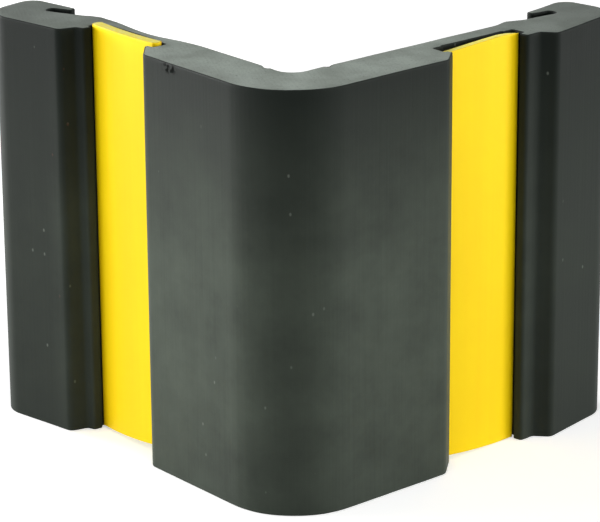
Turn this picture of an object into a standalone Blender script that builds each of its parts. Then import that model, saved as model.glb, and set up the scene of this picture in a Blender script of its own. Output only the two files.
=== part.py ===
"""Rubber corner guard for a pillar, with two yellow cover strips that slide in its channels.

Metres, +Z up. The guard is a cut length of an L-section rubber profile that stands on its sawn end. Its legs wrap
the outside corner of a pillar: the right leg runs along +X and the left leg along +Y, as seen by someone who faces
the nose. The origin is the middle of the base of the whole object's box.

Every outline is drawn in leg coordinates: ALONG runs from the inside corner to the leg's outer end, and OUT from
the flat back face towards the front. Both legs share them, mirrored about the guard's diagonal.
"""

import math

import bmesh
import bpy
from mathutils import Matrix, Vector

MM = 0.001
GAP = 0.3 * MM  # clearance between pieces that touch

# The profile as a whole.
HEIGHT = 110.0 * MM
LEG = 100.0 * MM  # inside corner to the outer end of a leg
BODY = 16.0 * MM  # thickness of the solid nose
BEAD = 17.2 * MM  # thickness of the leg's outer end
NOSE_RADIUS = 20.5 * MM
INSIDE_RADIUS = 5.0 * MM
BODY_END = 37.5 * MM  # where the nose's flat front stops
CREST = 72.6 * MM  # where the leg's outer end starts to stand out
LIP_REACH = 0.8 * MM  # how far the sealing lip stands behind the back face

# The channel that holds a cover strip.
CHANNEL_START = 41.4 * MM
CHANNEL_END = 68.3 * MM
UNDERCUT = 9.8 * MM  # how far out the channel is undercut
LEDGE = 5.9 * MM  # what the strip's edges rest on
LEDGE_WIDTH = 3.1 * MM
WEB = 5.4 * MM  # rubber left behind the channel
LIP_TIP = 44.6 * MM  # sharp corner of the lip over the strip, before its rounding
NUB_TIP = 66.9 * MM

# The cover strip.
STRIP_THICKNESS = 2.9 * MM
STRIP_EDGE_RADIUS = 1.2 * MM
STRIP_CAMBER = 0.8 * MM  # how far its middle bows out
STRIP_LENGTH = 110.2 * MM
STRIP_FACE_STEPS = 16  # straight pieces that draw each cambered face
STRIP_LIFT = {"left": 0.5 * MM, "right": 0.2 * MM}  # each strip's lower end above the base

# The fixings in the channel floor.
FIXING_HEIGHTS = {"lower": 27.5 * MM, "upper": 82.5 * MM}
HOLE_RADIUS = 2.75 * MM
SEAT_DEPTH = 1.8 * MM  # rubber left under a washer
WASHER_RADIUS = 7.5 * MM
WASHER_HOLE_RADIUS = 2.65 * MM
WASHER_THICKNESS = 1.2 * MM
WASHER_BEVEL = 0.15 * MM
TURNED_STEPS = 48

ARC_ERROR = 0.012 * MM  # how far a drawn arc may stray from the true one
MERGE = 0.00001

# The origin is the middle of the box's base, and the inside corner stands this far from it along X and Y.
INSIDE_CORNER = -(LEG - BEAD) / 2
SIDES = ("left", "right")

SHARP_ANGLE = math.radians(35)
RUBBER = {"colour": (0.055, 0.062, 0.056), "roughness": 0.62, "metallic": 0.0}
YELLOW_PVC = {"colour": (0.98, 0.76, 0.03), "roughness": 0.38, "metallic": 0.0}
ZINC_STEEL = {"colour": (0.62, 0.64, 0.66), "roughness": 0.35, "metallic": 1.0}


def clear_scene():
    for old in list(bpy.data.objects):
        bpy.data.objects.remove(old)


def new_collection(name, shown=True):
    collection = bpy.data.collections.new(name)
    collection.hide_render = not shown
    bpy.context.scene.collection.children.link(collection)
    return collection


def new_material(name, look):
    material = bpy.data.materials.new(name)
    material.use_nodes = True
    shader = material.node_tree.nodes["Principled BSDF"]
    shader.inputs["Base Color"].default_value = (*look["colour"], 1.0)
    shader.inputs["Roughness"].default_value = look["roughness"]
    shader.inputs["Metallic"].default_value = look["metallic"]
    return material


def leg_point(side, along, out):
    """A point of a leg's section in world X and Y."""
    x, y = (along, -out) if side == "right" else (-out, along)
    return Vector((INSIDE_CORNER + x, INSIDE_CORNER + y))


def arc(before, corner, after, radius):
    """The points of the arc that rounds a corner."""
    to_before = (before - corner).normalized()
    to_after = (after - corner).normalized()
    half = to_before.angle(to_after) / 2
    bisector = (to_before + to_after).normalized()
    centre = corner + bisector * radius / math.sin(half)
    start = corner + to_before * radius / math.tan(half) - centre
    sweep = start.angle_signed(corner + to_after * radius / math.tan(half) - centre)
    steps = max(2, math.ceil(abs(sweep) / (2 * math.acos(1 - ARC_ERROR / radius))))
    return [centre + start @ Matrix.Rotation(sweep * step / steps, 2) for step in range(steps + 1)]


def rounded(corners):
    """The outline through a closed list of (point, radius) corners, each rounded by its radius."""
    points = []
    for index, (corner, radius) in enumerate(corners):
        before = corners[index - 1][0]
        after = corners[(index + 1) % len(corners)][0]
        points += arc(before, corner, after, radius) if radius else [corner]
    return points


def leg_corners():
    """One leg's corners as (along, out, radius) in mm, from the inside corner round its end to the nose."""
    start, end = CHANNEL_START / MM, CHANNEL_END / MM
    ledge, ledge_width, web, undercut = LEDGE / MM, LEDGE_WIDTH / MM, WEB / MM, UNDERCUT / MM
    # The back face slopes into a slot, which the sealing lip closes towards the wall.
    back_face = [(73.5, 0.0, 1.5), (78.0, 2.9, 1.5)]
    slot_behind_bead = [(88.6, 5.7, 1.2), (89.4, 2.9, 1.2)]
    sealing_lip = [(83.6, 1.3, 0.8), (83.9, -LIP_REACH / MM, 0.8)]
    bead = [(LEG / MM, -LIP_REACH / MM, 4.5), (LEG / MM, BEAD / MM, 8.0), (CREST / MM, BEAD / MM, 2.2)]
    # A steep wall sets the bead off from the nub that holds the strip's outer edge.
    wall_foot = [(70.4, 12.9, 1.2)]
    nub = [(67.2, 12.5, 0.9), (NUB_TIP / MM, undercut, 0.4)]
    channel = [
        (end, undercut, 0.4),
        (end, ledge, 0.4),
        (end - ledge_width, ledge, 0.3),
        (end - ledge_width, web, 0.3),
        (start + ledge_width, web, 0.3),
        (start + ledge_width, ledge, 0.3),
        (start, ledge, 0.4),
        (start, undercut, 0.4),
    ]
    lip_over_strip = [(LIP_TIP / MM, undercut, 0.7), (BODY_END / MM, BODY / MM, 3.0)]
    return back_face + slot_behind_bead + sealing_lip + bead + wall_foot + nub + channel + lip_over_strip


def profile_outline():
    """The L-section: out along the right leg, round the nose and back along the left leg."""
    inside = [(leg_point("right", 0.0, 0.0), INSIDE_RADIUS)]
    nose = [(leg_point("right", -BODY, BODY), NOSE_RADIUS)]
    right, left = (
        [(leg_point(side, along * MM, out * MM), radius * MM) for along, out, radius in leg_corners()]
        for side in ("right", "left")
    )
    return rounded(inside + right + nose + left[::-1])


def cambered_face(out, reverse=False):
    """Points across a strip on a shallow arc whose ends lie at OUT and whose middle bows further out."""
    low, high = CHANNEL_START + GAP, CHANNEL_END - GAP
    middle, half = (low + high) / 2, (high - low) / 2
    points = []
    for step in range(1, STRIP_FACE_STEPS):
        share = 2 * step / STRIP_FACE_STEPS - 1
        points.append((middle + share * half, out + STRIP_CAMBER * (1 - share**2)))
    return points[::-1] if reverse else points


def strip_outline(side):
    """A strip's section: two cambered faces with rounded edges."""
    low, high = CHANNEL_START + GAP, CHANNEL_END - GAP
    back = LEDGE + GAP
    front = back + STRIP_THICKNESS
    ends = {
        "low_back": (low, back),
        "high_back": (high, back),
        "high_front": (high, front),
        "low_front": (low, front),
    }
    ends = {name: (leg_point(side, *place), STRIP_EDGE_RADIUS) for name, place in ends.items()}
    back_face = [(leg_point(side, *place), 0.0) for place in cambered_face(back)]
    front_face = [(leg_point(side, *place), 0.0) for place in cambered_face(front, reverse=True)]
    return rounded(
        [ends["low_back"]] + back_face + [ends["high_back"], ends["high_front"]] + front_face + [ends["low_front"]]
    )


def extruded(name, outline, origin, height, material, collection):
    """A flat outline extruded upwards from its origin, as a closed mesh."""
    curve = bpy.data.curves.new(name, "CURVE")
    curve.dimensions = "2D"
    curve.fill_mode = "BOTH"
    curve.extrude = height / 2
    spline = curve.splines.new("POLY")
    spline.points.add(len(outline) - 1)
    for slot, point in zip(spline.points, outline):
        slot.co = (point.x - origin.x, point.y - origin.y, height / 2, 1.0)
    spline.use_cyclic_u = True
    drawn = bpy.data.objects.new(name + "_outline", curve)
    bpy.context.scene.collection.objects.link(drawn)
    graph = bpy.context.evaluated_depsgraph_get()
    mesh = bpy.data.meshes.new_from_object(drawn.evaluated_get(graph))
    bpy.data.objects.remove(drawn)
    bpy.data.curves.remove(curve)
    weld(mesh)
    solid = bpy.data.objects.new(name, mesh)
    solid.location = origin
    return finish(solid, material, collection)


def weld(mesh):
    """Joins a curve's loose caps to its sides, lifts it onto its origin and turns all faces out."""
    shape = bmesh.new()
    shape.from_mesh(mesh)
    bmesh.ops.remove_doubles(shape, verts=shape.verts, dist=MERGE)
    lowest = min(vertex.co.z for vertex in shape.verts)
    bmesh.ops.translate(shape, verts=shape.verts, vec=(0.0, 0.0, -lowest))
    bmesh.ops.recalc_face_normals(shape, faces=shape.faces)
    shape.to_mesh(mesh)
    shape.free()


def finish(solid, material, collection):
    collection.objects.link(solid)
    solid.data.materials.clear()
    solid.data.materials.append(material)
    solid.data.shade_smooth()
    solid.data.set_sharp_from_angle(angle=SHARP_ANGLE)
    return solid


def turned(name, profile, closed, collection):
    """A solid turned about its local Z axis from a profile of (radius, height) points."""
    mesh = bpy.data.meshes.new(name)
    ends = [(index, index + 1) for index in range(len(profile) - 1)]
    if closed:
        ends.append((len(profile) - 1, 0))
    mesh.from_pydata([(radius, 0.0, height) for radius, height in profile], ends, [])
    solid = bpy.data.objects.new(name, mesh)
    collection.objects.link(solid)
    screw = solid.modifiers.new("Turn", "SCREW")
    screw.steps = screw.render_steps = TURNED_STEPS
    screw.use_merge_vertices = True
    screw.merge_threshold = MERGE
    return solid


def place_in_leg(solid, side, height):
    """Puts a turned piece on a fixing's axis, with its local Z along OUT and its base on the back face."""
    point = leg_point(side, (CHANNEL_START + CHANNEL_END) / 2, 0.0)
    solid.location = (point.x, point.y, height)
    quarter = math.pi / 2
    solid.rotation_euler = (quarter, 0.0, 0.0) if side == "right" else (0.0, -quarter, 0.0)


def hole_cutter(name, collection):
    """A through hole with a counterbore that seats a washer, open at both ends."""
    counterbore = WASHER_RADIUS + GAP
    below, above = -2 * GAP, LEDGE
    profile = [
        (0.0, above),
        (counterbore, above),
        (counterbore, SEAT_DEPTH),
        (HOLE_RADIUS, SEAT_DEPTH),
        (HOLE_RADIUS, below),
        (0.0, below),
    ]
    cutter = turned(name, profile, False, collection)
    cutter.hide_render = True
    cutter.display_type = "WIRE"
    return cutter


def washer(name, material, collection):
    """A flat washer with its rims broken, lying on the counterbore's seat."""
    low = SEAT_DEPTH + GAP
    high = low + WASHER_THICKNESS
    outer, inner, cut = WASHER_RADIUS, WASHER_HOLE_RADIUS, WASHER_BEVEL
    profile = [
        (inner + cut, high),
        (outer - cut, high),
        (outer, high - cut),
        (outer, low + cut),
        (outer - cut, low),
        (inner + cut, low),
        (inner, low + cut),
        (inner, high - cut),
    ]
    ring = turned(name, profile, True, collection)
    ring.data.materials.append(material)
    return ring


def build_profile(material, parts, cutters):
    """The L-section with its four fixing holes."""
    origin = Vector((INSIDE_CORNER, INSIDE_CORNER, 0.0))
    profile = extruded("rubber_profile", profile_outline(), origin, HEIGHT, material, parts)
    for side in SIDES:
        for level, height in FIXING_HEIGHTS.items():
            cutter = hole_cutter(f"fixing_hole_{side}_{level}", cutters)
            place_in_leg(cutter, side, height)
            cut = profile.modifiers.new(f"Hole {side} {level}", "BOOLEAN")
            cut.operation = "DIFFERENCE"
            cut.solver = "EXACT"
            cut.object = cutter
    return profile


def build_strip(side, material, parts):
    """One cover strip, with its origin on the axis that it slides along."""
    middle = leg_point(side, (CHANNEL_START + CHANNEL_END) / 2, LEDGE + GAP + STRIP_THICKNESS / 2)
    origin = Vector((middle.x, middle.y, STRIP_LIFT[side]))
    return extruded(f"cover_strip_{side}", strip_outline(side), origin, STRIP_LENGTH, material, parts)


def build_guard():
    clear_scene()
    parts = new_collection("corner_guard")
    cutters = new_collection("cutters", shown=False)
    rubber = new_material("rubber", RUBBER)
    yellow = new_material("yellow_pvc", YELLOW_PVC)
    steel = new_material("zinc_steel", ZINC_STEEL)
    build_profile(rubber, parts, cutters)
    for side in SIDES:
        build_strip(side, yellow, parts)
        for level, height in FIXING_HEIGHTS.items():
            place_in_leg(washer(f"fixing_washer_{side}_{level}", steel, parts), side, height)


build_guard()
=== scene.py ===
"""Looks of a rubber corner guard that stands on its sawn end.

The guard is a cut length of an L-section rubber profile with a yellow PVC cover strip in the channel of
each leg and two zinc-plated washers under each strip. Sections are drawn in leg coordinates: ALONG runs from
the inside corner to the leg's outer end, and OUT from the flat back face towards the front. Both legs share
them, mirrored about the guard's diagonal. Sizes of the guard are in millimetres, and turn into metres where
a mesh is made.
"""

import logging
import math
from collections.abc import Callable, Iterator, Mapping, Sequence
from dataclasses import dataclass, field
from enum import Enum
from typing import Any

import bmesh
import bpy
from mathutils import Matrix, Quaternion, Vector, geometry, kdtree, noise


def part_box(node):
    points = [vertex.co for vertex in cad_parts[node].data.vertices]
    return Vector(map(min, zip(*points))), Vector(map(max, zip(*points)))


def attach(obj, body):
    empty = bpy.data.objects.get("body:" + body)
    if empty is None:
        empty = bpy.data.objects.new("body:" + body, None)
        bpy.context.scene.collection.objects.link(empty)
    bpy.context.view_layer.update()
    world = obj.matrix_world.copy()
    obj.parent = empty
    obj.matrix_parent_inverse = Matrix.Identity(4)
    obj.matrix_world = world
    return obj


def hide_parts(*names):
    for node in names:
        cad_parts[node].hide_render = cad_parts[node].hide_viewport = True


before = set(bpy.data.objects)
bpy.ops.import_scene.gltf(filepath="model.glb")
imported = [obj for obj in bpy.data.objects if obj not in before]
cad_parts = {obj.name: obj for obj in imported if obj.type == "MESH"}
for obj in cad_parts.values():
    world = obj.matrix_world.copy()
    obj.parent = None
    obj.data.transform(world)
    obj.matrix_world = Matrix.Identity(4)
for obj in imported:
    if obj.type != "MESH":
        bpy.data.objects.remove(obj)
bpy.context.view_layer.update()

LOG = logging.getLogger("corner_guard")
MM = 0.001
SHARP_ANGLE = math.radians(38)
FEWEST_STEPS = 3  # of an arc
NOISE_SPAN = (0.3, 0.7)  # most of a noise texture's values lie between these
Corner = tuple[Vector, float]  # a point of a section and the radius that rounds it


class Side(Enum):
    """The two legs, as seen by someone who faces the nose."""

    LEFT = "left"
    RIGHT = "right"


class Level(Enum):
    """The two heights of the fixings."""

    LOWER = "lower"
    UPPER = "upper"


class Body(Enum):
    """The bodies of the frame that the pieces ride on."""

    GUARD = "guard"
    STRIP_LEFT = "strip_left"
    STRIP_RIGHT = "strip_right"


# ---------------------------------------------------------------------------------------------------------
# Nodes and colours


def linear(hex_colour: str) -> tuple[float, float, float, float]:
    """Turns an sRGB hex colour into linear light.

    Args:
        hex_colour: A colour such as "#FEE12E".

    Returns:
        Linear red, green and blue, with alpha 1.
    """
    shares = [int(hex_colour[start : start + 2], 16) / 255 for start in (1, 3, 5)]
    red, green, blue = (c / 12.92 if c <= 0.04045 else ((c + 0.055) / 1.055) ** 2.4 for c in shares)
    return red, green, blue, 1.0


def add_node(
    tree: bpy.types.NodeTree, kind: str, inputs: Mapping[str, Any] | Sequence[Any] = (), **settings: Any
) -> bpy.types.Node:
    """Adds one node with its settings and links.

    Args:
        tree: The node tree that gets the node.
        kind: Blender's name for the node type.
        inputs: What feeds each input, by the input's name or in the order in which the node shows them: a
            socket, a node whose first shown output is meant, or a plain value.
        **settings: The node's properties by name.

    Returns:
        The new node.
    """
    node = tree.nodes.new(kind)
    for name, value in settings.items():
        setattr(node, name, value)
    shown = [socket for socket in node.inputs if socket.enabled]
    if isinstance(inputs, Mapping):
        named = {socket.name: socket for socket in shown}
        fed = [(named[name], source) for name, source in inputs.items()]
    else:
        fed = list(zip(shown, inputs))
    for socket, source in fed:
        if isinstance(source, bpy.types.Node):
            source = next(output for output in source.outputs if output.enabled)
        if isinstance(source, bpy.types.NodeSocket):
            tree.links.new(source, socket)
        else:
            socket.default_value = source
    return node


def millimetres(tree: bpy.types.NodeTree, stretch: Sequence[float] = (1.0, 1.0, 1.0)) -> bpy.types.Node:
    """Gives the piece's own coordinates in millimetres.

    Args:
        tree: The node tree that gets the nodes.
        stretch: How many millimetres count as one along X, Y and Z.

    Returns:
        The node with the coordinates.
    """
    place = add_node(tree, "ShaderNodeTexCoord").outputs["Object"]
    scale = [1 / (MM * share) for share in stretch]
    return add_node(tree, "ShaderNodeVectorMath", (place, scale), operation="MULTIPLY")


def seen_by_eye_or_mirror(tree: bpy.types.NodeTree) -> bpy.types.Node:
    """Gives 1 for the rays of the camera, mirrors and glass, and 0 for those that only light things.

    Args:
        tree: The node tree that gets the nodes.

    Returns:
        The node with 1 or 0.
    """
    path = add_node(tree, "ShaderNodeLightPath").outputs
    seen = path["Is Camera Ray"]
    for name in ("Is Glossy Ray", "Is Transmission Ray"):
        seen = add_node(tree, "ShaderNodeMath", (seen, path[name]), operation="MAXIMUM")
    return seen


# ---------------------------------------------------------------------------------------------------------
# Finishes


@dataclass(frozen=True)
class Finish:
    """A finish made of one Principled shader, whose inputs each kind of finish works out."""

    name: str

    def look(self, tree: bpy.types.NodeTree) -> dict[str, Any]:
        """Works out what feeds the shader.

        Args:
            tree: The material's node tree.

        Returns:
            The source of each input, by the input's name.
        """
        raise NotImplementedError

    def make(self) -> bpy.types.Material:
        """Makes the material.

        Returns:
            The material, with its nodes.
        """
        material = bpy.data.materials.new(self.name)
        material.use_nodes = True
        tree = material.node_tree
        tree.nodes.clear()
        shader = add_node(tree, "ShaderNodeBsdfPrincipled", self.look(tree))
        add_node(tree, "ShaderNodeOutputMaterial", {"Surface": shader})
        return material


@dataclass(frozen=True)
class ExtrudedRubber(Finish):
    """Black EPDM rubber as the extrusion die leaves it: matt, with fine die lines and a patchy coat of dust,
    which is thinned to paint shade at the top, near the table, at the legs' ends and at the nose.
    """

    name: str = "epdm_rubber_extruded"
    dark: str = "#0C120F"
    light: str = "#51594F"
    scuffed: str = "#0B0D0B"
    dust: str = "#6E746C"
    rust_dust: str = "#5A3A33"
    roughness: tuple[float, float] = (0.52, 0.64)
    ior: float = 1.50
    sheen: float = 0.10  # share of the specular level; the porous dusty skin swallows some of it
    die_line: float = 0.9  # width of a die line in mm
    die_line_length: float = 55.0
    die_line_depth: float = 0.035
    die_line_share: float = 0.12  # how much the die lines show in the film of dust
    grain: float = 0.45  # mm; the real grain is finer and would not show
    grain_depth: float = 0.012
    cloud: float = 19.0  # size in mm of the patches of dust that handling leaves
    film_span: tuple[float, float] = (0.2, 0.92)  # the patches' values that give the film's two ends
    dust_and_shade: tuple[float, float] = (0.3, 0.95)  # the film of dust, from thin to thick, before painted shade thins it
    # Where the film is thinner, which paints shade: from and to which place in mm, and the share of dust left
    # at the first.
    shade_at_top: tuple[float, float, float] = (108.0, 58.0, 0.1)  # heights; painted shade below the sawn end, darker towards the top
    shade_near_table: tuple[float, float, float] = (0.0, 26.0, 0.8)  # heights; painted shade near the table
    shade_at_ends: tuple[float, float, float] = (86.0, 62.0, 0.3)  # distances from the nose's axis; painted shade at the legs' ends
    shade_at_nose: tuple[float, float, float] = (3.0, 20.0, 0.72)  # distances from it; painted shade at the nose
    nose: tuple[float, float, float] = (-50.0, -50.0, 0.0)
    speck_spacing: float = 4.2  # mm
    speck_size: float = 0.09  # a speck's radius as a share of the spacing
    speck_stretch: float = 1.5  # specks are drawn out along the extrusion
    speck_choice: tuple[float, float] = (0.54, 0.66)  # the cells' random values from which a speck shows
    speck_strength: float = 0.5
    rust_span: tuple[float, float] = (0.38, 0.42)  # the patches' values below which specks are rusty
    scuff_place: tuple[float, float, float] = (-57.4, -14.4, 108.7)  # mm; just below the left leg's sawn edge
    scuff_flatness: float = 2.0  # how much wider than high it is
    scuff_reach: tuple[float, float] = (1.9, 3.3)  # distances in mm between which it fades
    scuff_strength: float = 0.9
    scuff_grain: float = 1.3
    scuff_tear: tuple[float, float] = (0.44, 0.52)  # the grain's values between which the skin is torn

    def look(self, tree: bpy.types.NodeTree) -> dict[str, Any]:
        """Works out what feeds the shader; the die lines run along Z.

        Args:
            tree: The material's node tree.

        Returns:
            The source of each input, by the input's name.
        """
        place = millimetres(tree)
        along_die = millimetres(tree, (self.die_line, self.die_line, self.die_line_length))
        line = {"Vector": along_die, "Scale": 1.0, "Detail": 3.0}
        cloud = {"Vector": place, "Scale": 1 / self.cloud, "Detail": 5.0, "Roughness": 0.6}
        grit = {"Vector": place, "Scale": 1 / self.grain, "Detail": 2.0}
        noises = (add_node(tree, "ShaderNodeTexNoise", noisy) for noisy in (line, cloud, grit))
        lines, clouds, grain = noises
        patches = add_node(
            tree, "ShaderNodeMath", (lines, self.die_line_share, clouds), operation="MULTIPLY_ADD"
        )
        dust_and_shade = self.dust_and_painted_shade(tree, place, patches)
        # Less dust shows more of the dark clean rubber, so the thinned film paints shade into the skin's
        # colour here.
        skin = add_node(
            tree, "ShaderNodeMix", (dust_and_shade, linear(self.dark), linear(self.light)), data_type="RGBA"
        )
        scuff = self.scuff(tree, place)
        dusted_and_shaded = self.specked(tree, clouds, skin)
        colour = add_node(tree, "ShaderNodeMix", (scuff, dusted_and_shaded, linear(self.scuffed)), data_type="RGBA")
        lined = add_node(tree, "ShaderNodeBump", {"Distance": self.die_line_depth * MM, "Height": lines})
        grained = {"Distance": self.grain_depth * MM, "Height": grain, "Normal": lined}
        return {
            "Base Color": colour,
            "Roughness": add_node(tree, "ShaderNodeMapRange", (clouds, *NOISE_SPAN, *self.roughness)),
            "IOR": self.ior,
            "Specular IOR Level": add_node(tree, "ShaderNodeMapRange", (scuff, 0.0, 1.0, self.sheen, 0.0)),
            "Normal": add_node(tree, "ShaderNodeBump", grained),
        }

    def dust_and_painted_shade(
        self, tree: bpy.types.NodeTree, place: bpy.types.Node, patches: bpy.types.Node
    ) -> bpy.types.Node:
        """Works out how much dust the skin has, in patches, and thins it to paint shade at the top, near the
        table, at the legs' ends and at the nose.

        Args:
            tree: The node tree that gets the nodes.
            place: The coordinates in millimetres.
            patches: The noise of the patches.

        Returns:
            The node with 0 on clean skin and 1 where the dust is thickest; the painted shade lowers it.
        """
        height = add_node(tree, "ShaderNodeSeparateXYZ", (place,)).outputs["Z"]
        level = add_node(tree, "ShaderNodeVectorMath", (place, (1, 1, 0)), operation="MULTIPLY")
        away = add_node(tree, "ShaderNodeVectorMath", (level, self.nose), operation="DISTANCE")
        dust_and_shade = add_node(tree, "ShaderNodeMapRange", (patches, *self.film_span, *self.dust_and_shade))
        # Each of these lowers the film to paint shade: at the top, near the table, at the legs' ends and at
        # the nose.
        thinner = ((height, self.shade_at_top), (height, self.shade_near_table), (away, self.shade_at_ends), (away, self.shade_at_nose))
        for value, (start, end, left) in thinner:
            share = add_node(tree, "ShaderNodeMapRange", (value, start, end, left, 1.0))
            dust_and_shade = add_node(tree, "ShaderNodeMath", (dust_and_shade, share), operation="MULTIPLY")
        return dust_and_shade

    def specked(
        self, tree: bpy.types.NodeTree, clouds: bpy.types.Node, skin: bpy.types.Node
    ) -> bpy.types.Node:
        """Strews specks of dust over the skin.

        Args:
            tree: The node tree that gets the nodes.
            clouds: The noise of the patches of dust.
            skin: The skin's colour.

        Returns:
            The node with the specked colour.
        """
        drawn_out = millimetres(tree, (1.0, 1.0, self.speck_stretch))
        cells = add_node(tree, "ShaderNodeTexVoronoi", {"Vector": drawn_out, "Scale": 1 / self.speck_spacing})
        chance, away = cells.outputs["Color"], cells.outputs["Distance"]
        kept = add_node(tree, "ShaderNodeMapRange", (chance, *self.speck_choice, 0.0, self.speck_strength))
        near = add_node(tree, "ShaderNodeMapRange", (away, self.speck_size / 2, self.speck_size, 1.0, 0.0))
        shown = add_node(tree, "ShaderNodeMath", (kept, near), operation="MULTIPLY")
        rusty = add_node(tree, "ShaderNodeMapRange", (clouds, *self.rust_span, 1.0, 0.0))
        speck = add_node(
            tree, "ShaderNodeMix", (rusty, linear(self.dust), linear(self.rust_dust)), data_type="RGBA"
        )
        return add_node(tree, "ShaderNodeMix", (shown, skin, speck), data_type="RGBA")

    def scuff(self, tree: bpy.types.NodeTree, place: bpy.types.Node) -> bpy.types.Node:
        """Masks the rough scuff just below the left leg's sawn edge.

        Args:
            tree: The node tree that gets the nodes.
            place: The coordinates in millimetres.

        Returns:
            The node with the scuff's strength, and 0 on sound skin.
        """
        offset = add_node(tree, "ShaderNodeVectorMath", (place, self.scuff_place), operation="SUBTRACT")
        flat = add_node(
            tree, "ShaderNodeVectorMath", (offset, (1, 1, self.scuff_flatness)), operation="MULTIPLY"
        )
        away = add_node(tree, "ShaderNodeVectorMath", (flat,), operation="LENGTH")
        torn = add_node(
            tree, "ShaderNodeTexNoise", {"Vector": place, "Scale": 1 / self.scuff_grain, "Detail": 1.0}
        )
        near = add_node(tree, "ShaderNodeMapRange", (away, *self.scuff_reach, self.scuff_strength, 0.0))
        rough = add_node(tree, "ShaderNodeMapRange", (torn, *self.scuff_tear, 0.0, 1.0))
        return add_node(tree, "ShaderNodeMath", (near, rough), operation="MULTIPLY")


@dataclass(frozen=True)
class SawnRubber(Finish):
    """EPDM rubber cut by a fine saw: paler than the skin, dead matt, with torn grain and faint saw marks."""

    name: str = "epdm_rubber_sawn"
    dark: str = "#828A82"
    light: str = "#99A29A"
    # The colour of torn-out grain, and also of the painted shade towards the legs' ends.
    torn: str = "#4C514D"
    roughness: float = 0.82
    ior: float = 1.50
    sheen: float = 0.3  # share of the specular level
    saw_pitch: float = 1.1  # distance between saw marks in mm
    saw_angle: float = math.radians(28)
    saw_depth: float = 0.012
    saw_wander: float = 3.5  # how crooked the saw marks run
    cloud: float = 9.0  # size in mm of the paler patches
    cloud_span: tuple[float, float] = (0.35, 0.65)
    grain: float = 0.5
    grain_depth: float = 0.05
    pit_span: tuple[float, float] = (0.40, 0.28)  # the grain's values between which it has torn out
    pit_strength: float = 0.7
    nose: tuple[float, float, float] = (-50.0, -50.0, 110.0)
    end_shade: tuple[float, float] = (52.0, 98.0)  # mm from the nose, between which painted shade darkens it towards the legs' ends
    end_shade_strength: float = 0.55

    def look(self, tree: bpy.types.NodeTree) -> dict[str, Any]:
        """Works out what feeds the shader; the saw marks cross the section at one angle.

        Args:
            tree: The material's node tree.

        Returns:
            The source of each input, by the input's name.
        """
        place = millimetres(tree)
        turned = {"Vector": place, "Angle": self.saw_angle}
        across_saw = add_node(tree, "ShaderNodeVectorRotate", turned, rotation_type="Z_AXIS")
        saw = {
            "Vector": across_saw,
            "Scale": math.tau / 20 / self.saw_pitch,  # the wave texture's own period is tau / 20
            "Distortion": self.saw_wander,
            "Detail": 2.0,
            "Detail Scale": 0.6,
        }
        marks = add_node(tree, "ShaderNodeTexWave", saw).outputs["Fac"]
        cloud = {"Vector": place, "Scale": 1 / self.cloud, "Detail": 4.0}
        grit = {"Vector": place, "Scale": 1 / self.grain, "Detail": 3.0}
        clouds, grain = (add_node(tree, "ShaderNodeTexNoise", noisy) for noisy in (cloud, grit))
        pale = add_node(tree, "ShaderNodeMapRange", (clouds, *self.cloud_span, 0.0, 1.0))
        colour = add_node(
            tree, "ShaderNodeMix", (pale, linear(self.dark), linear(self.light)), data_type="RGBA"
        )
        away = add_node(tree, "ShaderNodeVectorMath", (place, self.nose), operation="DISTANCE")
        pitted = (grain, *self.pit_span, 0.0, self.pit_strength)
        shaded_ends = (away, *self.end_shade, 0.0, self.end_shade_strength)
        # The torn grain is the sawn face's own; the darkening towards the legs' ends is painted shade.
        for darker in (pitted, shaded_ends):
            share = add_node(tree, "ShaderNodeMapRange", darker)
            colour = add_node(tree, "ShaderNodeMix", (share, colour, linear(self.torn)), data_type="RGBA")
        marked = add_node(tree, "ShaderNodeBump", {"Distance": self.saw_depth * MM, "Height": marks})
        grained = {"Distance": self.grain_depth * MM, "Height": grain, "Normal": marked}
        return {
            "Base Color": colour,
            "Roughness": self.roughness,
            "IOR": self.ior,
            "Specular IOR Level": self.sheen,
            "Normal": add_node(tree, "ShaderNodeBump", grained),
        }


@dataclass(frozen=True)
class ExtrudedPvc(Finish):
    """Yellow plasticised PVC, extruded: a satin skin that is faintly drawn along its length."""

    name: str = "pvc_yellow_extruded"
    full: str = "#FFDD06"
    deep: str = "#FDD402"
    roughness: tuple[float, float] = (0.36, 0.46)
    ior: float = 1.53
    sheen: float = 0.15  # share of the specular level
    draw_line: float = 2.2  # width of a draw line in mm
    draw_line_length: float = 90.0
    draw_line_share: float = 0.5  # how much the draw lines show in the colour
    draw_depth: float = 0.02
    cloud: float = 35.0  # size in mm of the duller patches
    deep_span: tuple[float, float] = (0.5, 1.0)  # values of clouds and lines at which the yellow deepens

    def look(self, tree: bpy.types.NodeTree) -> dict[str, Any]:
        """Works out what feeds the shader; the draw lines run along Z.

        Args:
            tree: The material's node tree.

        Returns:
            The source of each input, by the input's name.
        """
        place = millimetres(tree)
        drawn = millimetres(tree, (self.draw_line, self.draw_line, self.draw_line_length))
        lines = add_node(tree, "ShaderNodeTexNoise", {"Vector": drawn, "Scale": 1.0, "Detail": 2.0})
        cloud = {"Vector": place, "Scale": 1 / self.cloud, "Detail": 3.0}
        clouds = add_node(tree, "ShaderNodeTexNoise", cloud)
        both = add_node(
            tree, "ShaderNodeMath", (lines, self.draw_line_share, clouds), operation="MULTIPLY_ADD"
        )
        deeper = add_node(tree, "ShaderNodeMapRange", (both, *self.deep_span, 0.0, 1.0))
        colour = (deeper, linear(self.full), linear(self.deep))
        return {
            "Base Color": add_node(tree, "ShaderNodeMix", colour, data_type="RGBA"),
            "Roughness": add_node(tree, "ShaderNodeMapRange", (clouds, *NOISE_SPAN, *self.roughness)),
            "IOR": self.ior,
            "Specular IOR Level": self.sheen,
            "Normal": add_node(tree, "ShaderNodeBump", {"Distance": self.draw_depth * MM, "Height": lines}),
        }


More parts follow.
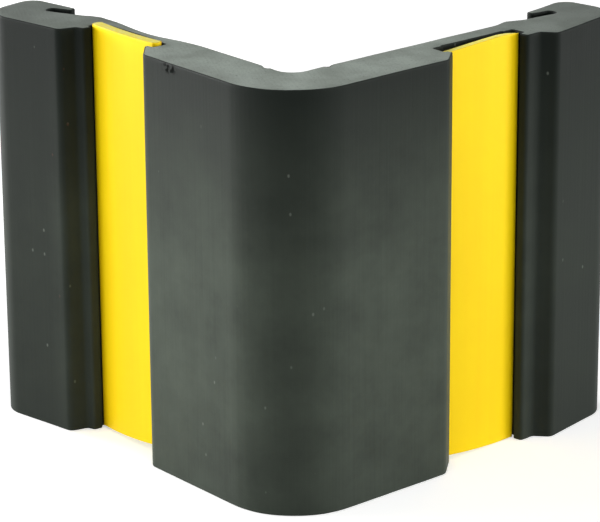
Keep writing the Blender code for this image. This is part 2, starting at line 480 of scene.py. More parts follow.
@dataclass(frozen=True)
class CutPvc(Finish):
    """The end of the PVC strip where shears cut it: pale from stress, and a little rough."""

    name: str = "pvc_yellow_cut"
    pale: str = "#FFEE48"
    stressed: str = "#FFF68C"
    roughness: float = 0.55
    ior: float = 1.53
    sheen: float = 0.3  # share of the specular level
    grain: float = 0.8
    grain_span: tuple[float, float] = (0.35, 0.7)
    grain_depth: float = 0.03

    def look(self, tree: bpy.types.NodeTree) -> dict[str, Any]:
        """Works out what feeds the shader.

        Args:
            tree: The material's node tree.

        Returns:
            The source of each input, by the input's name.
        """
        grit = {"Vector": millimetres(tree), "Scale": 1 / self.grain, "Detail": 3.0}
        grain = add_node(tree, "ShaderNodeTexNoise", grit)
        whitened = add_node(tree, "ShaderNodeMapRange", (grain, *self.grain_span, 0.0, 1.0))
        colour = (whitened, linear(self.pale), linear(self.stressed))
        return {
            "Base Color": add_node(tree, "ShaderNodeMix", colour, data_type="RGBA"),
            "Roughness": self.roughness,
            "IOR": self.ior,
            "Specular IOR Level": self.sheen,
            "Normal": add_node(tree, "ShaderNodeBump", {"Distance": self.grain_depth * MM, "Height": grain}),
        }


@dataclass(frozen=True)
class ZincPlate(Finish):
    """Punched steel with a thin bright zinc plating: a soft metal shine with faint cloudy stains."""

    name: str = "steel_zinc_plated"
    bright: str = "#C4C7C9"
    stained: str = "#A9ADAE"
    roughness: tuple[float, float] = (0.26, 0.42)
    roughness_span: tuple[float, float] = (0.35, 0.7)
    cloud: float = 3.5  # size in mm of a stain
    stain_span: tuple[float, float] = (0.4, 0.65)
    grain: float = 0.35
    grain_depth: float = 0.006

    def look(self, tree: bpy.types.NodeTree) -> dict[str, Any]:
        """Works out what feeds the shader.

        Args:
            tree: The material's node tree.

        Returns:
            The source of each input, by the input's name.
        """
        place = millimetres(tree)
        cloud = {"Vector": place, "Scale": 1 / self.cloud, "Detail": 4.0}
        clouds = add_node(tree, "ShaderNodeTexNoise", cloud)
        grain = add_node(tree, "ShaderNodeTexNoise", {"Vector": place, "Scale": 1 / self.grain})
        stain = add_node(tree, "ShaderNodeMapRange", (clouds, *self.stain_span, 0.0, 1.0))
        colour = (stain, linear(self.bright), linear(self.stained))
        rough = (clouds, *self.roughness_span, *self.roughness)
        return {
            "Base Color": add_node(tree, "ShaderNodeMix", colour, data_type="RGBA"),
            "Metallic": 1.0,
            "Roughness": add_node(tree, "ShaderNodeMapRange", rough),
            "Normal": add_node(tree, "ShaderNodeBump", {"Distance": self.grain_depth * MM, "Height": grain}),
        }


@dataclass(frozen=True)
class WhiteTable(Finish):
    """The matt white photo table. A glow for eye and mirrors alone takes it to white and keeps its shadow."""

    name: str = "table_white_matt"
    colour: str = "#F5F5F4"
    roughness: float = 0.9
    glow: tuple[float, float] = (0.5, 1.0)  # round the guard, and far off where the lamps don't reach
    glow_reach: tuple[float, float] = (0.35, 1.3)  # distances from the guard in metres for the two

    def look(self, tree: bpy.types.NodeTree) -> dict[str, Any]:
        """Works out what feeds the shader.

        Args:
            tree: The material's node tree.

        Returns:
            The source of each input, by the input's name.
        """
        place = add_node(tree, "ShaderNodeTexCoord").outputs["Object"]
        away = add_node(tree, "ShaderNodeVectorMath", (place,), operation="LENGTH")
        level = add_node(tree, "ShaderNodeMapRange", (away, *self.glow_reach, *self.glow))
        glow = add_node(tree, "ShaderNodeMath", (seen_by_eye_or_mirror(tree), level), operation="MULTIPLY")
        return {
            "Base Color": linear(self.colour),
            "Roughness": self.roughness,
            "Specular IOR Level": 0.0,
            "Emission Color": linear("#FFFFFF"),
            "Emission Strength": glow,
        }


# ---------------------------------------------------------------------------------------------------------
# Meshes


def arc(before: Vector, corner: Vector, after: Vector, radius: float, error: float) -> list[Vector]:
    """Draws the arc that rounds a corner.

    Args:
        before: The corner's neighbour on one side.
        corner: The sharp corner.
        after: Its neighbour on the other side.
        radius: The arc's radius.
        error: How far the drawn arc may stray from the true one.

    Returns:
        The arc's points, from the side of BEFORE to that of AFTER.
    """
    to_before = (before - corner).normalized()
    to_after = (after - corner).normalized()
    half = to_before.angle(to_after) / 2
    centre = corner + (to_before + to_after).normalized() * radius / math.sin(half)
    start = corner + to_before * radius / math.tan(half) - centre
    sweep = start.angle_signed(corner + to_after * radius / math.tan(half) - centre)
    steps = max(FEWEST_STEPS, math.ceil(abs(sweep) / (2 * math.acos(1 - error / radius))))
    return [centre + start @ Matrix.Rotation(sweep * step / steps, 2) for step in range(steps + 1)]


def rounded(corners: Sequence[Corner], error: float) -> list[Vector]:
    """Draws the closed outline through corners that are each rounded by their radius.

    Args:
        corners: The corners in order; a radius of 0 keeps one sharp.
        error: How far a drawn arc may stray from the true one.

    Returns:
        The outline's points.
    """
    points: list[Vector] = []
    for index, (corner, radius) in enumerate(corners):
        after = corners[(index + 1) % len(corners)][0]
        points += arc(corners[index - 1][0], corner, after, radius, error) if radius else [corner]
    return points


def spaced(points: Sequence[Vector], step: float) -> list[Vector]:
    """Adds points to a closed outline.

    Args:
        points: The outline.
        step: The longest stretch without a point.

    Returns:
        The outline with points at most STEP apart.
    """
    fine: list[Vector] = []
    for index, point in enumerate(points):
        run = points[(index + 1) % len(points)] - point
        parts = max(1, math.ceil(run.length / step))
        fine += [point + run * part / parts for part in range(parts)]
    return fine


def outward_normals(points: Sequence[Vector]) -> list[Vector]:
    """Finds the outward normal at each point of a closed outline.

    Args:
        points: The outline, in either direction.

    Returns:
        One unit vector for each point.
    """
    following = [*points[1:], points[0]]
    area = sum(here.x * after.y - after.x * here.y for here, after in zip(points, following))
    turn = 1 if area > 0 else -1
    normals = []
    for index, point in enumerate(points):
        ahead = (following[index] - point).normalized()
        behind = (point - points[index - 1]).normalized()
        tangent = (ahead + behind).normalized()
        normals.append(Vector((tangent.y, -tangent.x)) * turn)
    return normals


def smooth_step(value: float) -> float:
    """Eases a share from 0 to 1."""
    share = min(1.0, max(0.0, value))
    return share * share * (3 - 2 * share)


@dataclass
class Extrusion:
    """A section swept along Z, with finely rounded ends that are faces of their own finish."""

    name: str
    outline: list[Vector]  # mm
    edge: float  # radius of the rounded rim of each end
    ends: Callable[[Vector], tuple[float, float]]  # lower and upper end at a point of the section, in mm
    finishes: tuple[bpy.types.Material, bpy.types.Material]  # of the sides and of the ends
    cap_grid: float = 2.0  # distance between a cap's inner points
    cap_clearance: float = 0.45  # how far they keep from the rim, as a share of that distance
    cap_error: float = 1e-6  # mm within which a cap's points are one
    first_step: float = 0.4
    growth: float = 1.22
    longest_step: float = 2.6
    round_steps: int = 4
    shape: Callable[[Vector, Vector], Vector] | None = None  # moves a surface point, given its normal

    def levels(self, length: float) -> Iterator[tuple[float, float]]:
        """Gives the rings, closest together near the ends.

        Args:
            length: The sweep's length in mm.

        Yields:
            Each ring's height above the lower end, and its inset.
        """
        quarter = math.pi / 2 / self.round_steps
        rim = [
            (self.edge * (1 - math.cos(quarter * step)), self.edge * (1 - math.sin(quarter * step)))
            for step in range(self.round_steps + 1)
        ]
        heights, step = [], self.first_step
        height = self.edge + step
        while height < length / 2 - step / 2:
            heights.append(height)
            step = min(self.longest_step, step * self.growth)
            height += step
        lower = rim + [(height, 0.0) for height in heights]
        yield from lower
        yield from [(length - height, inset) for height, inset in lower[::-1]]

    def build(self) -> bpy.types.Object:
        """Sweeps the section and closes its ends.

        Returns:
            The new object, at the origin of the frame.
        """
        normals = outward_normals(self.outline)
        spans = [self.ends(point) for point in self.outline]
        nominal = max(high for _, high in spans) - min(low for low, _ in spans)
        mesh = bmesh.new()
        rings = []
        for height, inset in self.levels(nominal):
            ring = []
            for point, normal, (low, high) in zip(self.outline, normals, spans):
                place = point - normal * inset
                at = Vector((place.x, place.y, low + (high - low) * height / nominal))
                steep = min(1.0, inset / self.edge)
                upright = steep if height > nominal / 2 else -steep
                facing = Vector((normal.x, normal.y, upright)).normalized()
                ring.append(mesh.verts.new((self.shape(at, facing) if self.shape else at) * MM))
            rings.append(ring)
        for below, above in zip(rings, rings[1:]):
            for index in range(len(below)):
                after = (index + 1) % len(below)
                mesh.faces.new((below[index], below[after], above[after], above[index]))
        self.cap(mesh, rings[0], normals, -1)
        self.cap(mesh, rings[-1], normals, 1)
        bmesh.ops.recalc_face_normals(mesh, faces=mesh.faces)
        return as_object(self.name, mesh, self.finishes)

    def cap(
        self, mesh: bmesh.types.BMesh, ring: list[bmesh.types.BMVert], normals: list[Vector], up: int
    ) -> None:
        """Closes one end with triangles through a grid of inner points.

        Args:
            mesh: The mesh that gets the cap.
            ring: The rim's vertices.
            normals: The outline's outward normals.
            up: 1 for the upper end and -1 for the lower one.
        """
        rim = [point - normal * self.edge for point, normal in zip(self.outline, normals)]
        tree = kdtree.KDTree(len(rim))
        for index, point in enumerate(rim):
            tree.insert((point.x, point.y, 0.0), index)
        tree.balance()
        low_x, high_x = min(p.x for p in rim), max(p.x for p in rim)
        low_y, high_y = min(p.y for p in rim), max(p.y for p in rim)
        grid = []
        for row in range(int((high_y - low_y) / self.cap_grid) + 1):
            for column in range(int((high_x - low_x) / self.cap_grid) + 1):
                shift = self.cap_grid / 2 if row % 2 else 0.0
                point = Vector((low_x + column * self.cap_grid + shift, low_y + row * self.cap_grid))
                if tree.find((point.x, point.y, 0.0))[2] > self.cap_grid * self.cap_clearance:
                    grid.append(point)
        border = [list(range(len(rim)))]
        filled = geometry.delaunay_2d_cdt(rim + grid, [], border, 1, self.cap_error)
        points, _, faces, origins, _, _ = filled
        corners: dict[int, bmesh.types.BMVert] = {}
        for face in faces:
            for index in face:
                if index in corners:
                    continue
                source = min(origins[index]) if origins[index] else len(rim)
                if source < len(rim):
                    corners[index] = ring[source]
                else:
                    point = points[index]
                    at = Vector((point.x, point.y, self.ends(point)[up > 0]))
                    facing = Vector((0.0, 0.0, up))
                    corners[index] = mesh.verts.new((self.shape(at, facing) if self.shape else at) * MM)
            mesh.faces.new([corners[index] for index in face]).material_index = 1


def as_object(
    name: str, mesh: bmesh.types.BMesh, finishes: Sequence[bpy.types.Material]
) -> bpy.types.Object:
    """Turns a bmesh into a smooth-shaded object with its finishes.

    Args:
        name: The piece's name.
        mesh: The bmesh, which is freed.
        finishes: The materials of its slots.

    Returns:
        The object, linked to the scene.
    """
    data = bpy.data.meshes.new(name)
    mesh.to_mesh(data)
    mesh.free()
    for finish in finishes:
        data.materials.append(finish)
    data.shade_smooth()
    data.set_sharp_from_angle(angle=SHARP_ANGLE)
    piece = bpy.data.objects.new(name, data)
    bpy.context.scene.collection.objects.link(piece)
    return piece


def lathe(
    name: str,
    profile: Sequence[tuple[float, float]],
    steps: int,
    place: Matrix,
    finishes: Sequence[bpy.types.Material],
) -> bpy.types.Object:
    """Turns a closed profile about its Z axis.

    Args:
        name: The piece's name.
        profile: (radius, height) points in mm; points on the axis close the solid.
        steps: How many faces go round.
        place: Where its own frame goes, in metres.
        finishes: The materials of its slots.

    Returns:
        The object.
    """
    mesh = bmesh.new()
    rings = []
    for radius, height in profile:
        spokes = steps if radius else 1
        angles = [math.tau * spoke / spokes for spoke in range(spokes)]
        spots = [Vector((math.cos(angle) * radius, math.sin(angle) * radius, height)) for angle in angles]
        rings.append([mesh.verts.new(place @ (spot * MM)) for spot in spots] * (steps // spokes))
    for before, ring in zip([rings[-1], *rings], rings):
        for step in range(steps):
            after = (step + 1) % steps
            corners = dict.fromkeys((before[step], before[after], ring[after], ring[step]))
            if len(corners) > 2:  # two are left along the axis
                mesh.faces.new(list(corners))
    bmesh.ops.recalc_face_normals(mesh, faces=mesh.faces)
    return as_object(name, mesh, finishes)


# ---------------------------------------------------------------------------------------------------------
# The guard


@dataclass
class LegFrame:
    """Leg coordinates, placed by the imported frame."""

    leg: float = 100.0  # inside corner to the outer end of a leg, mm
    fixing: float = 54.85  # inside corner to the line of the fixings, mm
    inside: float = field(init=False)  # the inside corner along X and along Y, mm
    height: float = field(init=False)

    def __post_init__(self) -> None:
        """Reads the inside corner and the height from the frame."""
        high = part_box("rubber_profile")[1] / MM
        self.inside = high.x - self.leg
        self.height = high.z

    def point(self, side: Side, along: float, out: float) -> Vector:
        """Places a point of a leg's section.

        Args:
            side: The leg.
            along: From the inside corner towards the leg's outer end.
            out: From the back face towards the front.

        Returns:
            The point's X and Y in mm.
        """
        x, y = (along, -out) if side is Side.RIGHT else (-out, along)
        return Vector((self.inside + x, self.inside + y))

    def axis(self, side: Side, level: Level) -> Matrix:
        """Finds the axis of a fixing from its washer in the frame.

        Args:
            side: The leg.
            level: Which of the leg's two fixings it is.

        Returns:
            The fixing's own frame, in metres: its Z axis points OUT and starts on the back face.
        """
        low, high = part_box(f"fixing_washer_{side.value}_{level.value}")
        point, height = self.point(side, self.fixing, 0.0), (low.z + high.z) / 2 / MM
        quarter = math.pi / 2
        turn = Matrix.Rotation(quarter, 4, "X") if side is Side.RIGHT else Matrix.Rotation(-quarter, 4, "Y")
        return Matrix.Translation(Vector((point.x, point.y, height)) * MM) @ turn


@dataclass(frozen=True)
class Chip:
    """A small piece torn out of a sawn edge."""

    side: Side
    along: float
    out: float
    drop: float  # its middle's distance below the sawn end
    radius: float
    depth: float


@dataclass
class RubberProfile:
    """The black rubber section with its channels, end beads, sealing lips and fixing holes."""

    legs: LegFrame
    skin: bpy.types.Material
    sawn: bpy.types.Material
    body: float = 16.0  # thickness of the solid nose
    bead: float = 17.2
    nose_radius: float = 20.5
    inside_radius: float = 5.0
    body_end: float = 37.5
    channel_start: float = 41.4
    channel_end: float = 68.3
    undercut: float = 9.8
    ledge: float = 5.9
    ledge_width: float = 3.1
    web: float = 5.4
    crest: float = 72.6
    lip_reach: float = 0.8
    lip_tip: float = 44.6
    nub_tip: float = 66.9
    edge: float = 0.35
    arc_error: float = 0.006
    spacing: float = 0.8
    # The cut guard has relaxed: each end has turned about the thin neck beside its strip, out being positive.
    turn: dict[Side, float] = field(
        default_factory=lambda: {Side.LEFT: math.radians(8.8), Side.RIGHT: math.radians(-11)}
    )
    neck: tuple[float, float] = (67.0, 4.0)
    turn_start: float = 66.0
    turn_length: float = 6.0
    wave_height: float = 0.10  # unevenness of the sawn ends
    wave_length: float = 11.0
    sag: float = 1.3  # the saw ran this much low across the back of the left web
    sag_reach: tuple[float, float, float] = (58.0, 26.0, 6.0)  # its middle, half its length, its reach out
    ripple_height: float = 0.06  # unevenness of the extruded skin
    ripple_length: float = 14.0
    ripple_stretch: float = 4.0  # how much longer a ripple is along the extrusion
    hole_radius: float = 2.75
    seat_radius: float = 7.8
    seat_depth: float = 1.8
    seat_rim: float = 0.25  # how wide the edge of a hole's step is broken
    hole_rim: float = 0.2
    hole_faces: int = 64
    cut_past: float = 1.0  # how far a cutter reaches behind the back face
    chips: tuple[Chip, ...] = (
        Chip(Side.LEFT, 43.6, 10.2, 1.0, 1.2, 0.7),
        Chip(Side.RIGHT, -3.4, 16.0, 0.2, 1.0, 0.7),
        Chip(Side.RIGHT, 0.2, 16.0, 0.1, 0.7, 0.4),
        Chip(Side.RIGHT, 43.4, 10.2, 0.5, 1.3, 0.8),
        Chip(Side.RIGHT, 12.0, 0.0, 0.2, 1.1, 0.5),
        Chip(Side.LEFT, 9.0, 0.0, 0.2, 1.2, 0.5),
    )
    chip_tears: tuple[tuple[float, float], ...] = ((1.3, 0.45), (3.1, 0.25))  # bumps per mm, and share torn
    chip_reach: float = 1.6  # the farthest that a chip tears, in radii
    chip_slope: float = 1.6  # how steeply its sides fall

    def corners(self) -> list[tuple[float, float, float]]:
        """Lists one leg's corners, from the inside corner round its end to the nose.

        Returns:
            Each corner as (along, out, radius).
        """
        ledge_in, ledge_out = self.channel_start + self.ledge_width, self.channel_end - self.ledge_width
        # The back face slopes into a slot, which the sealing lip closes towards the wall.
        back_face = [(73.5, 0.0, 1.5), (78.0, 2.9, 1.5)]
        slot_behind_bead = [(88.6, 5.7, 1.2), (89.4, 2.9, 1.2)]
        sealing_lip = [(83.6, 1.3, 0.8), (83.9, -self.lip_reach, 0.8)]
        end, crest = self.legs.leg, self.crest
        bead = [(end, -self.lip_reach, 4.5), (end, self.bead, 8.0), (crest, self.bead, 2.2)]
        # A steep wall sets the bead off from the nub that holds the strip's outer edge.
        wall_foot = [(70.4, 12.9, 1.2)]
        nub = [(67.2, 12.5, 0.9), (self.nub_tip, self.undercut, 0.5)]
        channel = [
            (self.channel_end, self.undercut, 0.4),
            (self.channel_end, self.ledge, 0.4),
            (ledge_out, self.ledge, 0.2),
            (ledge_out, self.web, 0.2),
            (ledge_in, self.web, 0.2),
            (ledge_in, self.ledge, 0.2),
            (self.channel_start, self.ledge, 0.4),
            (self.channel_start, self.undercut, 0.4),
        ]
        lip_over_strip = [(self.lip_tip, self.undercut, 0.7), (self.body_end, self.body, 3.0)]
        behind = back_face + slot_behind_bead + sealing_lip
        return behind + bead + wall_foot + nub + channel + lip_over_strip

    def relaxed(self, point: Vector) -> Vector:
        """Turns a point of a leg's end about the leg's neck.

        Args:
            point: A point of the straight section, in X and Y.

        Returns:
            The point of the relaxed section.
        """
        offset = point - Vector((self.legs.inside, self.legs.inside))
        side = Side.RIGHT if offset.x > offset.y else Side.LEFT
        along, out = (offset.x, -offset.y) if side is Side.RIGHT else (offset.y, -offset.x)
        angle = self.turn[side] * smooth_step((along - self.turn_start) / self.turn_length)
        arm = Vector((along - self.neck[0], out - self.neck[1]))
        turned = Matrix.Rotation(angle, 2) @ arm
        return self.legs.point(side, self.neck[0] + turned.x, self.neck[1] + turned.y)

    def outline(self) -> list[Vector]:
        """Draws the whole section: out along the right leg, round the nose and back along the left leg.

        Returns:
            The relaxed outline.
        """
        inside = [(self.legs.point(Side.RIGHT, 0.0, 0.0), self.inside_radius)]
        nose = [(self.legs.point(Side.RIGHT, -self.body, self.body), self.nose_radius)]
        right, left = (
            [(self.legs.point(side, along, out), radius) for along, out, radius in self.corners()]
            for side in (Side.RIGHT, Side.LEFT)
        )
        straight = spaced(rounded(inside + right + nose + left[::-1], self.arc_error), self.spacing)
        return [self.relaxed(point) for point in straight]

    def ends(self, point: Vector) -> tuple[float, float]:
        """Finds the two sawn ends, which are a little uneven.

        Args:
            point: A point of the section, in X and Y.

        Returns:
            The heights of the lower and the upper end there.
        """
        spot = Vector((point.x, point.y, 0.0)) / self.wave_length
        lower = abs(noise.noise(spot)) * self.wave_height
        upper = self.legs.height + noise.noise(spot + Vector((0.0, 0.0, 7.0))) * self.wave_height
        along, out = point.y - self.legs.inside, self.legs.inside - point.x
        middle, half, reach = self.sag_reach
        dip = smooth_step(1 - abs(along - middle) / half) * smooth_step(1 - out / reach)
        return lower, upper - self.sag * dip

    def worn(self, at: Vector, facing: Vector) -> Vector:
        """Adds the ripple of the skin and the chips of the sawn edges to a surface point.

        Args:
            at: The point in mm.
            facing: Its outward normal.

        Returns:
            The moved point.
        """
        level = Vector((facing.x, facing.y, 0.0))
        spot = Vector((at.x, at.y, at.z / self.ripple_stretch)) / self.ripple_length
        moved = at + level * (noise.noise(spot) * self.ripple_height)
        for chip in self.chips:
            middle = self.legs.point(chip.side, chip.along, chip.out)
            centre = Vector((middle.x, middle.y, self.legs.height - chip.drop))
            away = (at - centre).length
            torn = sum(share * noise.noise(at * pitch) for pitch, share in self.chip_tears)
            bite = 1 - away / chip.radius + torn
            if bite > 0 and away < chip.radius * self.chip_reach:
                moved -= facing * chip.depth * min(1.0, bite * self.chip_slope)
        return moved

    def build(self) -> bpy.types.Object:
        """Sweeps the profile and cuts its four holes.

        Returns:
            The dressed profile.
        """
        finishes = (self.skin, self.sawn)
        sweep = Extrusion("rubber_guard", self.outline(), self.edge, self.ends, finishes, shape=self.worn)
        profile = sweep.build()
        self.cut_holes(profile)
        return profile

    def cut_holes(self, profile: bpy.types.Object) -> None:
        """Cuts the counterbored fixing holes and applies the cut.

        Args:
            profile: The swept section.
        """
        bore = [
            (0.0, self.ledge),
            (self.seat_radius, self.ledge),
            (self.seat_radius, self.seat_depth + self.seat_rim),
            (self.seat_radius - self.seat_rim, self.seat_depth),
            (self.hole_radius + self.hole_rim, self.seat_depth),
            (self.hole_radius, self.seat_depth - self.hole_rim),
            (self.hole_radius, -self.cut_past),
            (0.0, -self.cut_past),
        ]
        places = [self.legs.axis(side, level) for side in Side for level in Level]
        cutters = [lathe("cutter", bore, self.hole_faces, place, (self.skin,)) for place in places]
        for cutter in cutters:
            cut = profile.modifiers.new("Hole", "BOOLEAN")
            cut.operation = "DIFFERENCE"
            cut.object = cutter
        graph = bpy.context.evaluated_depsgraph_get()
        finished = bpy.data.meshes.new_from_object(profile.evaluated_get(graph))
        profile.modifiers.clear()
        profile.data = finished
        finished.set_sharp_from_angle(angle=SHARP_ANGLE)
        for cutter in cutters:
            bpy.data.objects.remove(cutter)


@dataclass(frozen=True)
class ShearCut:
    """How far out of square the shears cut one strip's ends, in mm."""

    top_drop: float  # the upper end's edge beside the lip, below its edge beside the nub
    foot_lift: float  # the lower end's edge beside the lip, above its edge beside the nub
    corner_drop: float  # the upper end's nipped corner beside the nub
    back_drop: float  # the upper end's back edge, below its front edge


@dataclass
class CoverStrip:
    """One yellow cover strip, bowed between its two rounded edges."""

    legs: LegFrame
    side: Side
    shears: ShearCut
    face: bpy.types.Material
    cut: bpy.types.Material
    bow: float = 0.8  # how far the middle of the front stands out
    low: float = 41.7
    high: float = 68.0
    back: float = 6.2
    thickness: float = 2.9
    edge_radius: float = 1.2
    rim: float = 0.2
    arc_error: float = 0.006
    face_steps: int = 40
    cap_grid: float = 1.0
    longest_step: float = 4.0
    crown: float = 0.75  # share of the width at which the upper end is highest
    top_curve: float = 1.5  # powers at which the ends fall away across the width
    corner_curve: float = 2.0
    foot_curve: float = 1.7

    def outline(self) -> list[Vector]:
        """Draws the section: two bowed faces with rounded edges.

        Returns:
            The outline.
        """
        middle, half = (self.low + self.high) / 2, (self.high - self.low) / 2
        place = self.legs.point

        def bowed(out: float) -> list[Vector]:
            """Draws a bowed face, from the lip's side to the nub's.

            Args:
                out: Where the face's edges lie.

            Returns:
                The face's points.
            """
            shares = [2 * step / self.face_steps - 1 for step in range(1, self.face_steps)]
            spots = [(middle + share * half, out + self.bow * (1 - share**2)) for share in shares]
            return [place(self.side, *spot) for spot in spots]

        front = self.back + self.thickness
        corners: list[Corner] = [(place(self.side, self.low, self.back), self.edge_radius)]
        corners += [(point, 0.0) for point in bowed(self.back)]
        corners += [(place(self.side, self.high, self.back), self.edge_radius)]
        corners += [(place(self.side, self.high, front), self.edge_radius)]
        corners += [(point, 0.0) for point in bowed(front)[::-1]]
        corners += [(place(self.side, self.low, front), self.edge_radius)]
        return rounded(corners, self.arc_error)

    def ends(self, point: Vector) -> tuple[float, float]:
        """Finds the two cut ends.

        Args:
            point: A point of the section, in X and Y.

        Returns:
            The heights of the lower and the upper end there.
        """
        low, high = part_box(f"cover_strip_{self.side.value}")
        offset = point - Vector((self.legs.inside, self.legs.inside))
        along, out = (offset.x, -offset.y) if self.side is Side.RIGHT else (offset.y, -offset.x)
        share = min(1.0, max(0.0, (along - self.low) / (self.high - self.low)))
        before, beyond = max(0.0, 1 - share / self.crown), max(0.0, (share - self.crown) / (1 - self.crown))
        behind = min(1.0, max(0.0, 1 - (out - self.back) / self.thickness))
        lift = self.shears.foot_lift * (1 - share) ** self.foot_curve
        drop = self.shears.top_drop * before**self.top_curve
        drop += self.shears.corner_drop * beyond**self.corner_curve
        drop += self.shears.back_drop * behind
        return low.z / MM + lift, high.z / MM - drop

    def build(self) -> bpy.types.Object:
        """Sweeps the strip.

        Returns:
            The dressed strip.
        """
        sweep = Extrusion(
            f"cover_strip_{self.side.value}_pvc",
            self.outline(),
            self.rim,
            self.ends,
            (self.face, self.cut),
            cap_grid=self.cap_grid,
            longest_step=self.longest_step,
        )
        return sweep.build()


@dataclass
class FixingWasher:
    """A punched steel washer: its upper rim is drawn over a little and its lower one is broken."""

    legs: LegFrame
    side: Side
    level: Level
    finish: bpy.types.Material
    outer: float = 7.5
    inner: float = 2.65
    low: float = 2.1
    thickness: float = 1.2
    drawn: float = 0.35
    drawn_steps: int = 4
    broken: float = 0.12
    faces: int = 96

    def build(self) -> bpy.types.Object:
        """Turns the washer, lying on its seat.

        Returns:
            The dressed washer.
        """
        low, high = self.low, self.low + self.thickness
        angles = [math.radians(90 / self.drawn_steps * step) for step in range(self.drawn_steps + 1)]
        drawn = [(math.sin(angle) * self.drawn, (1 - math.cos(angle)) * self.drawn) for angle in angles]
        upper_outer = [(self.outer - self.drawn + across, high - down) for across, down in drawn]
        upper_inner = [(self.inner + self.drawn - across, high - down) for across, down in drawn[::-1]]
        profile = [
            *upper_outer,
            (self.outer, low + self.broken),
            (self.outer - self.broken, low),
            (self.inner + self.broken, low),
            (self.inner, low + self.broken),
            *upper_inner,
        ]
        name = f"washer_{self.side.value}_{self.level.value}_zinc"
        return lathe(name, profile, self.faces, self.legs.axis(self.side, self.level), (self.finish,))


@dataclass
class CornerGuard:
    """The whole guard: it makes the pieces, dresses them and sets them on their bodies."""

    legs: LegFrame = field(default_factory=LegFrame)
    left_shears: ShearCut = ShearCut(top_drop=0.0, foot_lift=1.6, corner_drop=0.1, back_drop=0.0)
    right_shears: ShearCut = ShearCut(top_drop=1.2, foot_lift=1.2, corner_drop=0.6, back_drop=0.5)

    def build(self) -> None:
        """Builds every piece and ties it to the frame."""
        skin, sawn = ExtrudedRubber().make(), SawnRubber().make()
        face, cut = ExtrudedPvc().make(), CutPvc().make()
        zinc = ZincPlate().make()
        self.settle(RubberProfile(self.legs, skin, sawn).build(), Body.GUARD, "rubber_profile")
        for side, body, shears in (
            (Side.LEFT, Body.STRIP_LEFT, self.left_shears),
            (Side.RIGHT, Body.STRIP_RIGHT, self.right_shears),
        ):
            strip = CoverStrip(self.legs, side, shears, face, cut).build()
            self.settle(strip, body, f"cover_strip_{side.value}")
        for side in Side:
            for level in Level:
                washer = FixingWasher(self.legs, side, level, zinc).build()
                self.settle(washer, Body.GUARD, f"fixing_washer_{side.value}_{level.value}")

    def settle(self, piece: bpy.types.Object, body: Body, node: str) -> None:
        """Sets a piece on its body in place of a node of the frame.

        Args:
            piece: The dressed piece.
            body: The body that it rides on.
            node: The node that it stands for.
        """
        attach(piece, body.value)
        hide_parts(node)
        faces = len(piece.data.polygons)
        LOG.info("%s: %d faces, rides on %s, stands for %s", piece.name, faces, body.value, node)


# ---------------------------------------------------------------------------------------------------------
# The studio


@dataclass(frozen=True)
class Softbox:
    """A rectangular lamp that looks at a point of the guard."""

    name: str
    place: tuple[float, float, float]
    target: tuple[float, float, float]
    size: tuple[float, float]
    power: float

    def build(self) -> None:
        """Adds the lamp."""
        data = bpy.data.lights.new(self.name, "AREA")
        data.shape = "RECTANGLE"
        data.size, data.size_y = self.size
        data.energy = self.power
        lamp = bpy.data.objects.new(self.name, data)
        lamp.location = self.place
        lamp.rotation_euler = (Vector(self.target) - Vector(self.place)).to_track_quat("-Z", "Y").to_euler()
        bpy.context.scene.collection.objects.link(lamp)


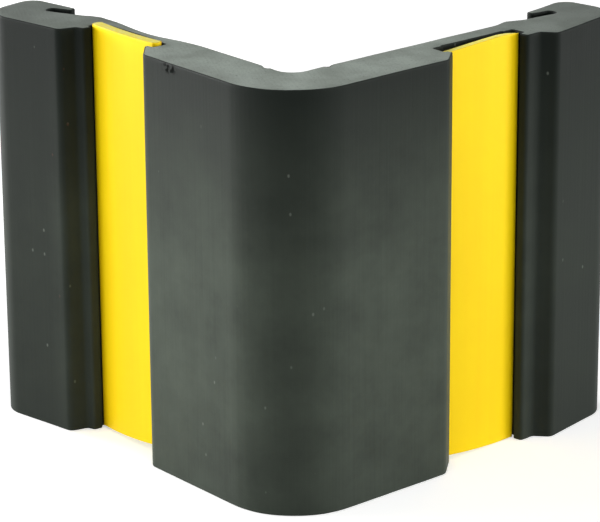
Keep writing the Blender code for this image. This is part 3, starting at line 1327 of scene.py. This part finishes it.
@dataclass
class Studio:
    """The table, the lamps and the camera."""

    table_size: float = 6.0  # metres
    table_cells: int = 8
    ambient: float = 0.06  # strength of the world where it lights the scene
    camera_place: tuple[float, float, float] = (-0.5174, -0.6117, 0.3224)
    camera_azimuth: float = math.radians(-40.01)
    camera_elevation: float = math.radians(19.30)
    camera_roll: float = math.radians(-0.41)
    camera_sight: tuple[float, float] = (0.05, 20.0)  # metres
    lens: float = 192.0  # mm, on a sensor 36 mm wide
    lamps: tuple[Softbox, ...] = (
        Softbox("overhead", (-0.13, -0.15, 0.43), (-0.02, -0.02, 0.0), (0.18, 0.18), 0.55),
        Softbox("back_left", (-0.31, 1.16, 0.22), (0.0, 0.0, 0.05), (0.5, 0.36), 20.0),
        Softbox("left", (-0.919, 0.772, 0.22), (0.0, 0.0, 0.05), (0.5, 0.36), 9.2),
        Softbox("front_left", (-1.182, 0.209, 0.22), (0.0, 0.0, 0.05), (0.5, 0.36), 2.8),
        Softbox("right", (0.919, -0.772, 0.22), (0.0, 0.0, 0.05), (0.5, 0.36), 8.0),
        Softbox("front_right", (0.41, -1.129, 0.22), (0.0, 0.0, 0.05), (0.5, 0.36), 4.6),
    )

    def build(self) -> None:
        """Adds the table, the world, the lamps and the camera."""
        self.add_table()
        self.light_world()
        for lamp in self.lamps:
            lamp.build()
        self.add_camera()

    def add_table(self) -> None:
        """Adds the white table that the guard stands on."""
        mesh, cells = bmesh.new(), self.table_cells
        bmesh.ops.create_grid(mesh, x_segments=cells, y_segments=cells, size=self.table_size / 2)
        table = as_object("table", mesh, (WhiteTable().make(),))

    def light_world(self) -> None:
        """Surrounds the scene with white for the eye, which lights it only faintly."""
        world = bpy.data.worlds.new("white_tent")
        world.use_nodes = True
        tree = world.node_tree
        tree.nodes.clear()
        faint, white = (
            add_node(tree, "ShaderNodeBackground", {"Color": linear("#FFFFFF"), "Strength": strength})
            for strength in (self.ambient, 1.0)
        )
        mixed = add_node(tree, "ShaderNodeMixShader", (seen_by_eye_or_mirror(tree), faint, white))
        add_node(tree, "ShaderNodeOutputWorld", {"Surface": mixed})
        bpy.context.scene.world = world

    def add_camera(self) -> None:
        """Adds the camera at the photograph's viewing angle."""
        data = bpy.data.cameras.new("camera")
        data.lens = self.lens
        data.clip_start, data.clip_end = self.camera_sight
        camera = bpy.data.objects.new("camera", data)
        level, up = math.cos(self.camera_elevation), math.sin(self.camera_elevation)
        across, ahead = math.sin(self.camera_azimuth) * level, math.cos(self.camera_azimuth) * level
        back = Vector((across, -ahead, up))
        camera.location = self.camera_place
        camera.rotation_mode = "QUATERNION"
        aimed = (-back).to_track_quat("-Z", "Y")
        camera.rotation_quaternion = aimed @ Quaternion((0, 0, 1), self.camera_roll)
        bpy.context.scene.collection.objects.link(camera)
        bpy.context.scene.camera = camera


def main() -> None:
    """Builds the studio and the guard."""
    logging.basicConfig(level=logging.INFO, format="%(message)s")
    bpy.context.scene.view_settings.view_transform = "Standard"
    Studio().build()
    CornerGuard().build()


if __name__ == "__main__":
    main()
